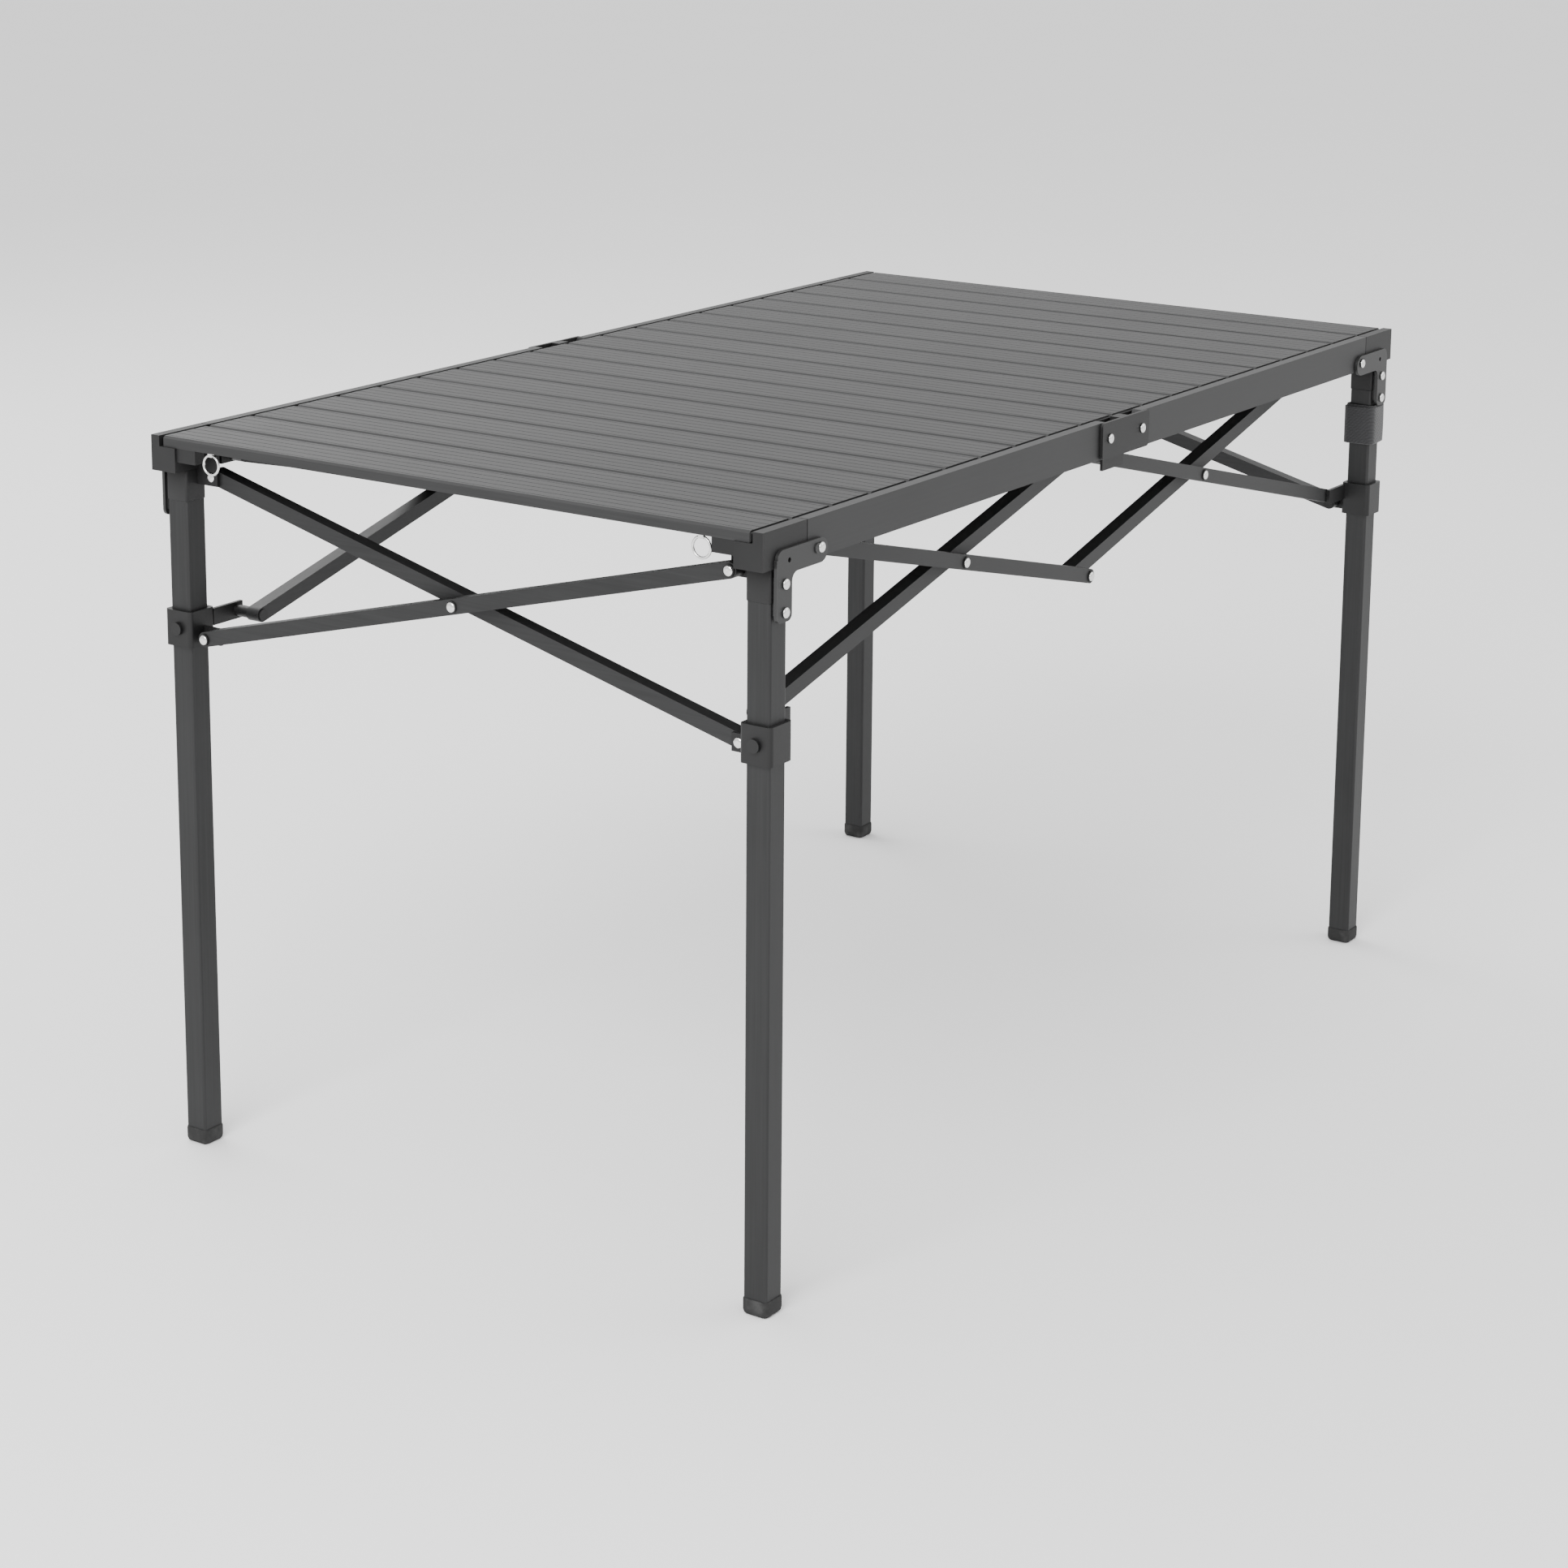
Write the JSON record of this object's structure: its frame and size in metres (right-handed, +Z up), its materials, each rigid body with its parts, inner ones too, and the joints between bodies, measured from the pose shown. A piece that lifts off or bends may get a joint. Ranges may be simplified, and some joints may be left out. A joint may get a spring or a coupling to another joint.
{
  "type": "folding picnic table",
  "caption": "Charcoal folding table with a slatted lift-off top on a scissor frame with square legs and sliding collars.",
  "frame": {"origin": "on the floor under the middle of the table", "axes": "+X along the table's length, +Y across it, +Z up"},
  "size_m": [1.2, 0.685, 0.69],
  "materials": {
    "slat": "brushed charcoal anodised",
    "tube": "satin charcoal anodised",
    "rail": "satin charcoal anodised",
    "bracket": "satin dark paint",
    "plastic": "fine textured black",
    "button": "smooth black",
    "webbing": "woven black webbing",
    "ring": "bright"
  },
  "bodies": {
    "leg_fl": {"leg_fl": "tube", "corner_fl": "plastic", "bracket_fl": "bracket"},
    "leg_fr": {"leg_fr": "tube", "corner_fr": "plastic", "bracket_fr": "bracket", "strap": "webbing"},
    "leg_bl": {"leg_bl": "tube", "corner_bl": "plastic", "bracket_bl": "bracket"},
    "leg_br": {"leg_br": "tube", "corner_br": "plastic", "bracket_br": "bracket"},
    "collar_fl": {"collar_fl": "plastic"},
    "button_fl": {"button_fl": "button"},
    "rail_fl": {"rail_fl": "rail"},
    "end_bar_fl": {"end_bar_fl": "tube"},
    "collar_fr": {"collar_fr": "plastic"},
    "button_fr": {"button_fr": "button"},
    "rail_fr": {"rail_fr": "rail"},
    "end_bar_fr": {"end_bar_fr": "tube"},
    "collar_bl": {"collar_bl": "plastic"},
    "button_bl": {"button_bl": "button"},
    "rail_bl": {"rail_bl": "rail"},
    "end_bar_bl": {"end_bar_bl": "tube"},
    "collar_br": {"collar_br": "plastic"},
    "button_br": {"button_br": "button"},
    "rail_br": {"rail_br": "rail"},
    "end_bar_br": {"end_bar_br": "tube"},
    "side_bar_a_f": {"side_bar_a_f": "tube"},
    "side_bar_b_f": {"side_bar_b_f": "tube"},
    "side_bar_c_f": {"side_bar_c_f": "tube"},
    "side_bar_d_f": {"side_bar_d_f": "tube"},
    "saddle_f": {"saddle_f": "plastic"},
    "side_bar_a_b": {"side_bar_a_b": "tube"},
    "side_bar_b_b": {"side_bar_b_b": "tube"},
    "side_bar_c_b": {"side_bar_c_b": "tube"},
    "side_bar_d_b": {"side_bar_d_b": "tube"},
    "saddle_b": {"saddle_b": "plastic"},
    "slat_01": {"slat_01": "slat", "rings": "ring"},
    "slat_02": {"slat_02": "slat"},
    "slat_03": {"slat_03": "slat"},
    "slat_04": {"slat_04": "slat"},
    "slat_05": {"slat_05": "slat"},
    "slat_06": {"slat_06": "slat"},
    "slat_07": {"slat_07": "slat"},
    "slat_08": {"slat_08": "slat"},
    "slat_09": {"slat_09": "slat"},
    "slat_10": {"slat_10": "slat"},
    "slat_11": {"slat_11": "slat"},
    "slat_12": {"slat_12": "slat"},
    "slat_13": {"slat_13": "slat"},
    "slat_14": {"slat_14": "slat"},
    "slat_15": {"slat_15": "slat"},
    "slat_16": {"slat_16": "slat"},
    "slat_17": {"slat_17": "slat"},
    "slat_18": {"slat_18": "slat"},
    "slat_19": {"slat_19": "slat"},
    "slat_20": {"slat_20": "slat"}
  },
  "joints": [
    {"name": "frame_fold", "type": "hinge", "parent": "leg_fl", "child": "side_bar_b_f", "pos_m": [-0.525, -0.3, 0.664], "axis": [0, 1, 0], "range_deg": [0, 65]},
    {"name": "side_mid_low_f", "type": "hinge", "parent": "side_bar_b_f", "child": "side_bar_c_f", "pos_m": [0, -0.283, 0.53007], "axis": [0, 1, 0], "range_deg": [-130, 0]},
    {"name": "leg_fr_turn", "type": "hinge", "parent": "side_bar_c_f", "child": "leg_fr", "pos_m": [0.525, -0.283, 0.664], "axis": [0, 1, 0], "range_deg": [0, 65]},
    {"name": "side_cross_left_f", "type": "hinge", "parent": "side_bar_b_f", "child": "side_bar_a_f", "pos_m": [-0.231, -0.283, 0.589], "axis": [0, 1, 0], "range_deg": [-130, 0]},
    {"name": "side_cross_right_f", "type": "hinge", "parent": "side_bar_c_f", "child": "side_bar_d_f", "pos_m": [0.231, -0.3, 0.589], "axis": [0, 1, 0], "range_deg": [0, 130]},
    {"name": "saddle_f_turn", "type": "hinge", "parent": "side_bar_a_f", "child": "saddle_f", "pos_m": [0, -0.283, 0.64793], "axis": [0, 1, 0], "range_deg": [0, 65]},
    {"name": "collar_fl_turn", "type": "hinge", "parent": "side_bar_a_f", "child": "collar_fl", "pos_m": [-0.525, -0.283, 0.514], "axis": [0, 1, 0], "range_deg": [0, 65]},
    {"name": "collar_fr_turn", "type": "hinge", "parent": "side_bar_d_f", "child": "collar_fr", "pos_m": [0.525, -0.3, 0.514], "axis": [0, 1, 0], "range_deg": [-65, 0]},
    {"name": "end_left_top", "type": "hinge", "parent": "leg_fl", "child": "end_bar_fl", "pos_m": [-0.577, -0.294, 0.65], "axis": [1, 0, 0], "range_deg": [-65, 0]},
    {"name": "end_left_cross", "type": "hinge", "parent": "end_bar_fl", "child": "end_bar_bl", "pos_m": [-0.56, 0, 0.575], "axis": [1, 0, 0], "range_deg": [0, 130]},
    {"name": "leg_bl_turn", "type": "hinge", "parent": "end_bar_bl", "child": "leg_bl", "pos_m": [-0.56, 0.294, 0.65], "axis": [1, 0, 0], "range_deg": [-65, 0]},
    {"name": "collar_bl_turn", "type": "hinge", "parent": "end_bar_fl", "child": "collar_bl", "pos_m": [-0.577, 0.294, 0.5], "axis": [1, 0, 0], "range_deg": [0, 65]},
    {"name": "end_right_top", "type": "hinge", "parent": "leg_fr", "child": "end_bar_fr", "pos_m": [0.577, -0.294, 0.65], "axis": [1, 0, 0], "range_deg": [-65, 0]},
    {"name": "end_right_cross", "type": "hinge", "parent": "end_bar_fr", "child": "end_bar_br", "pos_m": [0.56, 0, 0.575], "axis": [1, 0, 0], "range_deg": [0, 130]},
    {"name": "leg_br_turn", "type": "hinge", "parent": "end_bar_br", "child": "leg_br", "pos_m": [0.56, 0.294, 0.65], "axis": [1, 0, 0], "range_deg": [-65, 0]},
    {"name": "collar_br_turn", "type": "hinge", "parent": "end_bar_fr", "child": "collar_br", "pos_m": [0.577, 0.294, 0.5], "axis": [1, 0, 0], "range_deg": [0, 65]},
    {"name": "side_top_left_b", "type": "hinge", "parent": "leg_bl", "child": "side_bar_b_b", "pos_m": [-0.525, 0.3, 0.664], "axis": [0, 1, 0], "range_deg": [0, 65]},
    {"name": "side_cross_left_b", "type": "hinge", "parent": "side_bar_b_b", "child": "side_bar_a_b", "pos_m": [-0.231, 0.283, 0.589], "axis": [0, 1, 0], "range_deg": [-130, 0]},
    {"name": "side_top_right_b", "type": "hinge", "parent": "leg_br", "child": "side_bar_c_b", "pos_m": [0.525, 0.283, 0.664], "axis": [0, 1, 0], "range_deg": [-65, 0]},
    {"name": "side_cross_right_b", "type": "hinge", "parent": "side_bar_c_b", "child": "side_bar_d_b", "pos_m": [0.231, 0.3, 0.589], "axis": [0, 1, 0], "range_deg": [0, 130]},
    {"name": "saddle_b_turn", "type": "hinge", "parent": "side_bar_a_b", "child": "saddle_b", "pos_m": [0, 0.283, 0.64793], "axis": [0, 1, 0], "range_deg": [0, 65]},
    {"name": "rail_fl_fold", "type": "hinge", "parent": "leg_fl", "child": "rail_fl", "pos_m": [-0.525, -0.333, 0.664], "axis": [0, 1, 0], "range_deg": [0, 90]},
    {"name": "rail_fr_fold", "type": "hinge", "parent": "leg_fr", "child": "rail_fr", "pos_m": [0.525, -0.333, 0.664], "axis": [0, 1, 0], "range_deg": [-90, 0]},
    {"name": "rail_bl_fold", "type": "hinge", "parent": "leg_bl", "child": "rail_bl", "pos_m": [-0.525, 0.333, 0.664], "axis": [0, 1, 0], "range_deg": [0, 90]},
    {"name": "rail_br_fold", "type": "hinge", "parent": "leg_br", "child": "rail_br", "pos_m": [0.525, 0.333, 0.664], "axis": [0, 1, 0], "range_deg": [-90, 0]},
    {"name": "top_lift", "type": "slide", "parent": "leg_fl", "child": "slat_01", "axis": [0, 0, 1], "range_m": [0, 0.57]},
    {"name": "button_fl_press", "type": "slide", "parent": "collar_fl", "child": "button_fl", "axis": [1, 0, 0], "range_m": [0, 0.003], "stiffness_N_per_m": 300, "springref_m": -0.003},
    {"name": "button_fr_press", "type": "slide", "parent": "collar_fr", "child": "button_fr", "axis": [-1, 0, 0], "range_m": [0, 0.003], "stiffness_N_per_m": 300, "springref_m": -0.003},
    {"name": "button_bl_press", "type": "slide", "parent": "collar_bl", "child": "button_bl", "axis": [1, 0, 0], "range_m": [0, 0.003], "stiffness_N_per_m": 300, "springref_m": -0.003},
    {"name": "button_br_press", "type": "slide", "parent": "collar_br", "child": "button_br", "axis": [-1, 0, 0], "range_m": [0, 0.003], "stiffness_N_per_m": 300, "springref_m": -0.003},
    {"name": "top_roll", "type": "hinge", "parent": "slat_01", "child": "slat_02", "pos_m": [-0.54, 0, 0.69], "axis": [0, -1, 0], "range_deg": [0, 39.02]},
    {"name": "slat_03_hinge", "type": "hinge", "parent": "slat_02", "child": "slat_03", "pos_m": [-0.48, 0, 0.69], "axis": [0, -1, 0], "range_deg": [0, 39.96]},
    {"name": "slat_04_hinge", "type": "hinge", "parent": "slat_03", "child": "slat_04", "pos_m": [-0.42, 0, 0.69], "axis": [0, -1, 0], "range_deg": [0, 40.94]},
    {"name": "slat_05_hinge", "type": "hinge", "parent": "slat_04", "child": "slat_05", "pos_m": [-0.36, 0, 0.69], "axis": [0, -1, 0], "range_deg": [0, 42.01]},
    {"name": "slat_06_hinge", "type": "hinge", "parent": "slat_05", "child": "slat_06", "pos_m": [-0.3, 0, 0.69], "axis": [0, -1, 0], "range_deg": [0, 43.15]},
    {"name": "slat_07_hinge", "type": "hinge", "parent": "slat_06", "child": "slat_07", "pos_m": [-0.24, 0, 0.69], "axis": [0, -1, 0], "range_deg": [0, 44.39]},
    {"name": "slat_08_hinge", "type": "hinge", "parent": "slat_07", "child": "slat_08", "pos_m": [-0.18, 0, 0.69], "axis": [0, -1, 0], "range_deg": [0, 45.74]},
    {"name": "slat_09_hinge", "type": "hinge", "parent": "slat_08", "child": "slat_09", "pos_m": [-0.12, 0, 0.69], "axis": [0, -1, 0], "range_deg": [0, 47.22]},
    {"name": "slat_10_hinge", "type": "hinge", "parent": "slat_09", "child": "slat_10", "pos_m": [-0.06, 0, 0.69], "axis": [0, -1, 0], "range_deg": [0, 48.85]},
    {"name": "slat_11_hinge", "type": "hinge", "parent": "slat_10", "child": "slat_11", "pos_m": [0, 0, 0.69], "axis": [0, -1, 0], "range_deg": [0, 50.66]},
    {"name": "slat_12_hinge", "type": "hinge", "parent": "slat_11", "child": "slat_12", "pos_m": [0.06, 0, 0.69], "axis": [0, -1, 0], "range_deg": [0, 52.67]},
    {"name": "slat_13_hinge", "type": "hinge", "parent": "slat_12", "child": "slat_13", "pos_m": [0.12, 0, 0.69], "axis": [0, -1, 0], "range_deg": [0, 54.93]},
    {"name": "slat_14_hinge", "type": "hinge", "parent": "slat_13", "child": "slat_14", "pos_m": [0.18, 0, 0.69], "axis": [0, -1, 0], "range_deg": [0, 57.5]},
    {"name": "slat_15_hinge", "type": "hinge", "parent": "slat_14", "child": "slat_15", "pos_m": [0.24, 0, 0.69], "axis": [0, -1, 0], "range_deg": [0, 60.45]},
    {"name": "slat_16_hinge", "type": "hinge", "parent": "slat_15", "child": "slat_16", "pos_m": [0.3, 0, 0.69], "axis": [0, -1, 0], "range_deg": [0, 63.88]},
    {"name": "slat_17_hinge", "type": "hinge", "parent": "slat_16", "child": "slat_17", "pos_m": [0.36, 0, 0.69], "axis": [0, -1, 0], "range_deg": [0, 67.93]},
    {"name": "slat_18_hinge", "type": "hinge", "parent": "slat_17", "child": "slat_18", "pos_m": [0.42, 0, 0.69], "axis": [0, -1, 0], "range_deg": [0, 72.79]},
    {"name": "slat_19_hinge", "type": "hinge", "parent": "slat_18", "child": "slat_19", "pos_m": [0.48, 0, 0.69], "axis": [0, -1, 0], "range_deg": [0, 78.77]},
    {"name": "slat_20_hinge", "type": "hinge", "parent": "slat_19", "child": "slat_20", "pos_m": [0.54, 0, 0.69], "axis": [0, -1, 0], "range_deg": [0, 86.32]}
  ],
  "couplings": [
    {"joint": "side_mid_low_f", "follows": "frame_fold", "ratio": -2},
    {"joint": "leg_fr_turn", "follows": "frame_fold", "ratio": 1},
    {"joint": "side_cross_left_f", "follows": "frame_fold", "ratio": -2},
    {"joint": "side_cross_right_f", "follows": "frame_fold", "ratio": 2},
    {"joint": "saddle_f_turn", "follows": "frame_fold", "ratio": 1},
    {"joint": "collar_fl_turn", "follows": "frame_fold", "ratio": 1},
    {"joint": "collar_fr_turn", "follows": "frame_fold", "ratio": -1},
    {"joint": "end_left_top", "follows": "frame_fold", "ratio": -1},
    {"joint": "end_left_cross", "follows": "frame_fold", "ratio": 2},
    {"joint": "leg_bl_turn", "follows": "frame_fold", "ratio": -1},
    {"joint": "collar_bl_turn", "follows": "frame_fold", "ratio": 1},
    {"joint": "end_right_top", "follows": "frame_fold", "ratio": -1},
    {"joint": "end_right_cross", "follows": "frame_fold", "ratio": 2},
    {"joint": "leg_br_turn", "follows": "frame_fold", "ratio": -1},
    {"joint": "collar_br_turn", "follows": "frame_fold", "ratio": 1},
    {"joint": "side_top_left_b", "follows": "frame_fold", "ratio": 1},
    {"joint": "side_cross_left_b", "follows": "frame_fold", "ratio": -2},
    {"joint": "side_top_right_b", "follows": "frame_fold", "ratio": -1},
    {"joint": "side_cross_right_b", "follows": "frame_fold", "ratio": 2},
    {"joint": "saddle_b_turn", "follows": "frame_fold", "ratio": 1},
    {"joint": "rail_fl_fold", "follows": "frame_fold", "ratio": 1.384},
    {"joint": "rail_fr_fold", "follows": "frame_fold", "ratio": -1.384},
    {"joint": "rail_bl_fold", "follows": "frame_fold", "ratio": 1.384},
    {"joint": "rail_br_fold", "follows": "frame_fold", "ratio": -1.384},
    {"joint": "top_lift", "follows": "frame_fold", "m_per_rad": 0.5},
    {"joint": "slat_03_hinge", "follows": "top_roll", "ratio": 1.0235},
    {"joint": "slat_04_hinge", "follows": "top_roll", "ratio": 1.0488},
    {"joint": "slat_05_hinge", "follows": "top_roll", "ratio": 1.076},
    {"joint": "slat_06_hinge", "follows": "top_roll", "ratio": 1.1053},
    {"joint": "slat_07_hinge", "follows": "top_roll", "ratio": 1.1371},
    {"joint": "slat_08_hinge", "follows": "top_roll", "ratio": 1.1718},
    {"joint": "slat_09_hinge", "follows": "top_roll", "ratio": 1.2097},
    {"joint": "slat_10_hinge", "follows": "top_roll", "ratio": 1.2515},
    {"joint": "slat_11_hinge", "follows": "top_roll", "ratio": 1.2977},
    {"joint": "slat_12_hinge", "follows": "top_roll", "ratio": 1.3493},
    {"joint": "slat_13_hinge", "follows": "top_roll", "ratio": 1.4073},
    {"joint": "slat_14_hinge", "follows": "top_roll", "ratio": 1.4732},
    {"joint": "slat_15_hinge", "follows": "top_roll", "ratio": 1.5488},
    {"joint": "slat_16_hinge", "follows": "top_roll", "ratio": 1.6366},
    {"joint": "slat_17_hinge", "follows": "top_roll", "ratio": 1.7403},
    {"joint": "slat_18_hinge", "follows": "top_roll", "ratio": 1.8649},
    {"joint": "slat_19_hinge", "follows": "top_roll", "ratio": 2.0181},
    {"joint": "slat_20_hinge", "follows": "top_roll", "ratio": 2.2117}
  ]
}
